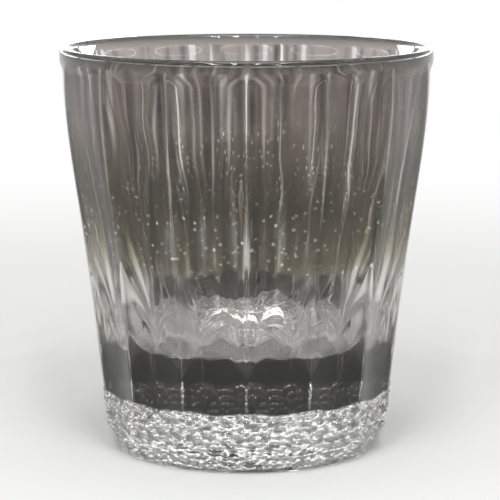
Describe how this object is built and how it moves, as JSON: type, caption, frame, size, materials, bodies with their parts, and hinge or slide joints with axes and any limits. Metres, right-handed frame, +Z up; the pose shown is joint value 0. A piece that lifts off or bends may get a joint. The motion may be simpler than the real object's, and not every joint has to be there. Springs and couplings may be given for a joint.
{
  "type": "whisky glass",
  "caption": "Heavy tapered whisky tumbler of clear pressed glass with upright flutes, a plain rim, a solid base and a stippled foot, for short drinks.",
  "frame": {"origin": "on the axis, at the level surface that the glass stands on", "axes": "+Z up along the axis of the glass; -Y faces the viewer of the picture and has a ridge between two flutes"},
  "size_m": [0.084, 0.0841, 0.091],
  "materials": {
    "pressed_glass": "clear and fire-polished, stippled under the foot"
  },
  "bodies": {
    "root": {"stippled_foot": "pressed_glass", "base_block": "pressed_glass", "bowl_wall": "pressed_glass", "fluted_wall": "pressed_glass", "rim": "pressed_glass"}
  },
  "joints": []
}
